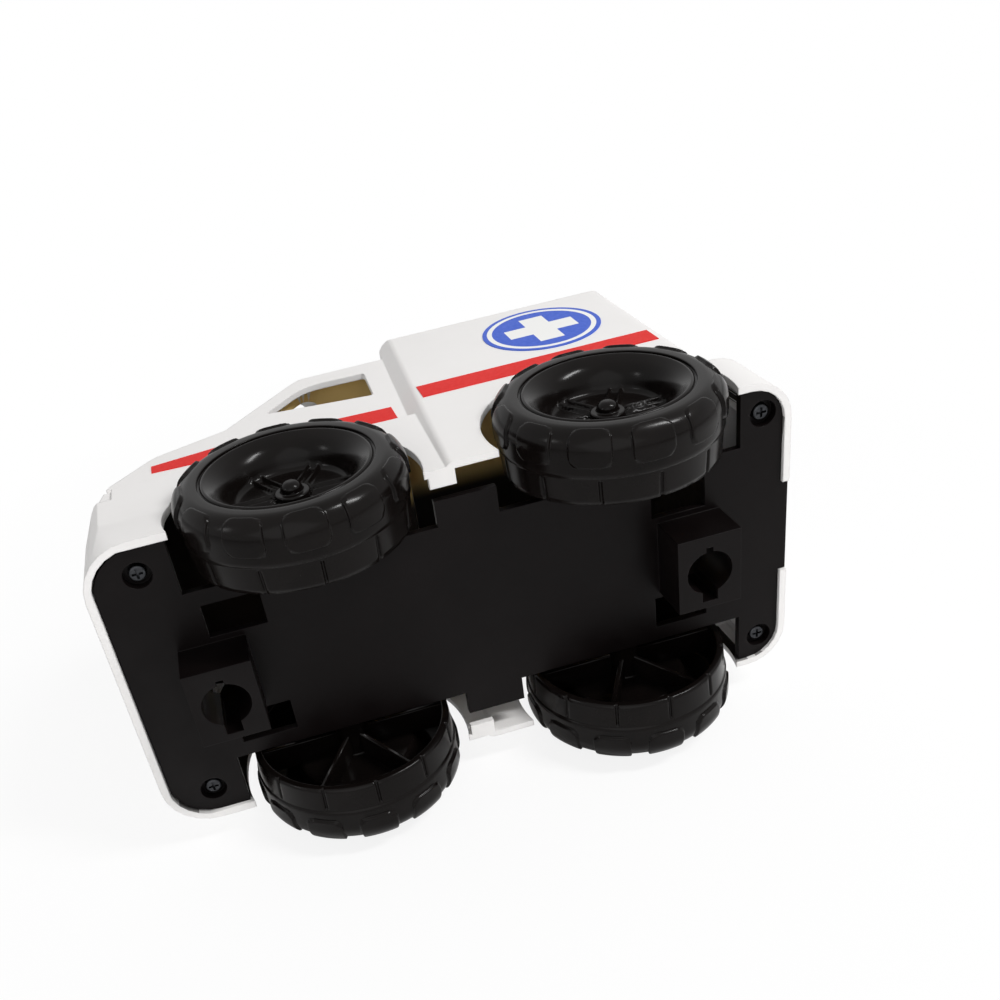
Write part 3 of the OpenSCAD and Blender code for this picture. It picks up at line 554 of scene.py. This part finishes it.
# floor: a plane that leans as the line from the wheels to the roof edge does
def makeFloor(s):
    rise = (s["roofSide"] - s["wheelSide"]) / (s["roofTop"] - s["wheelTop"])
    h = s["half"]
    places = ((-h, -h), (-h, h), (h, h), (h, -h))
    corners = [(x, s["wheelSide"] + (z - s["wheelTop"]) * rise, z) for x, z in places]
    mesh = bpy.data.meshes.new("floor")
    mesh.from_pydata(corners, [], [(0, 1, 2, 3)])
    if mesh.polygons[0].normal.y < 0:
        mesh.flip_normals()
    floor = bpy.data.objects.new("floor", mesh)
    scene.collection.objects.link(floor)
    dress(floor, paleFloorPaint(s))


# matt white paint: it keeps the toy's shadow, and glows an even white to the camera further off; it is clear
# from behind and to shadow rays
def paleFloorPaint(s):
    material = bpy.data.materials.new("paleFloorPaint")
    material.use_nodes = True
    tree = material.node_tree
    tree.nodes.clear()
    path = addNode(tree, "ShaderNodeLightPath").outputs
    back = addNode(tree, "ShaderNodeNewGeometry").outputs["Backfacing"]
    coords = addNode(tree, "ShaderNodeTexCoord").outputs["Object"]
    off = addNode(tree, "ShaderNodeVectorMath", {0: coords, 1: s["aim"]}, operation="DISTANCE").outputs
    span = {"From Min": s["near"], "From Max": s["far"], "To Min": s["dim"], "To Max": 1.0}
    fade = addNode(tree, "ShaderNodeMapRange", {"Value": off["Value"]} | span)
    white = addNode(tree, "ShaderNodeMath", {0: fade, 1: path["Is Camera Ray"]}, operation="MULTIPLY")
    paint = addNode(tree, "ShaderNodeBsdfDiffuse", {"Color": linear(s["paint"])})
    glow = addNode(tree, "ShaderNodeEmission", {"Color": (1, 1, 1, 1), "Strength": 1.0})
    lit = addNode(tree, "ShaderNodeMixShader", {"Fac": white, 1: paint, 2: glow})
    clear = addNode(tree, "ShaderNodeBsdfTransparent")
    gone = addNode(tree, "ShaderNodeMath", {0: back, 1: path["Is Shadow Ray"]}, operation="MAXIMUM")
    mix = addNode(tree, "ShaderNodeMixShader", {"Fac": gone, 1: lit, 2: clear})
    addNode(tree, "ShaderNodeOutputMaterial", {"Surface": mix})
    return material


# white to the camera, in reflections and through clear pieces, and a plain fill for the rest
def makeWorld(s):
    world = bpy.data.worlds.new("studio")
    world.use_nodes = True
    tree = world.node_tree
    tree.nodes.clear()
    path = addNode(tree, "ShaderNodeLightPath").outputs
    seen = path["Is Camera Ray"]
    for ray in ("Is Glossy Ray", "Is Transmission Ray"):
        seen = addNode(tree, "ShaderNodeMath", {0: seen, 1: path[ray]}, operation="MAXIMUM")
    level = addNode(tree, "ShaderNodeMapRange", {"Value": seen, "To Min": s["fill"], "To Max": 1.0})
    sky = addNode(tree, "ShaderNodeBackground", {"Color": (1, 1, 1, 1), "Strength": level})
    addNode(tree, "ShaderNodeOutputWorld", {"Surface": sky})
    scene.world = world


# softboxes: direction from the aim, distance and size in metres, power in watts
softboxes = dict(
    keySoftbox=dict(towards=(-0.535, 0.774, -0.358), distance=1.1, size=(0.42, 0.1), power=7.3),
    frontSoftbox=dict(towards=(1.0, 0.55, -0.22), distance=1.2, size=(0.2, 0.14), power=0.7),
    lowSoftbox=dict(towards=(0.3, 0.35, -0.9), distance=1.2, size=(1.0, 1.0), power=2.4),
    rightSoftbox=dict(towards=(0.25, -0.78, -0.3), distance=1.2, size=(0.8, 0.6), power=5.0),
    topSoftbox=dict(towards=(0.0, -0.3, 1.0), distance=1.2, size=(0.8, 0.8), power=3.0))


def makeSoftbox(name, aim, towards, distance, size, power):
    data = bpy.data.lights.new(name, "AREA")
    data.shape = "RECTANGLE"
    data.size, data.size_y = size
    data.energy = power
    lamp = bpy.data.objects.new(name, data)
    lamp.location = aim + Vector(towards).normalized() * distance
    lamp.rotation_mode = "QUATERNION"
    lamp.rotation_quaternion = (aim - lamp.location).to_track_quat("-Z", "Y")
    scene.collection.objects.link(lamp)


makeFloor(stageSizes)
makeWorld(stageSizes)
for name, box in softboxes.items():
    makeSoftbox(name, Vector(stageSizes["aim"]), **box)
print("stage made")
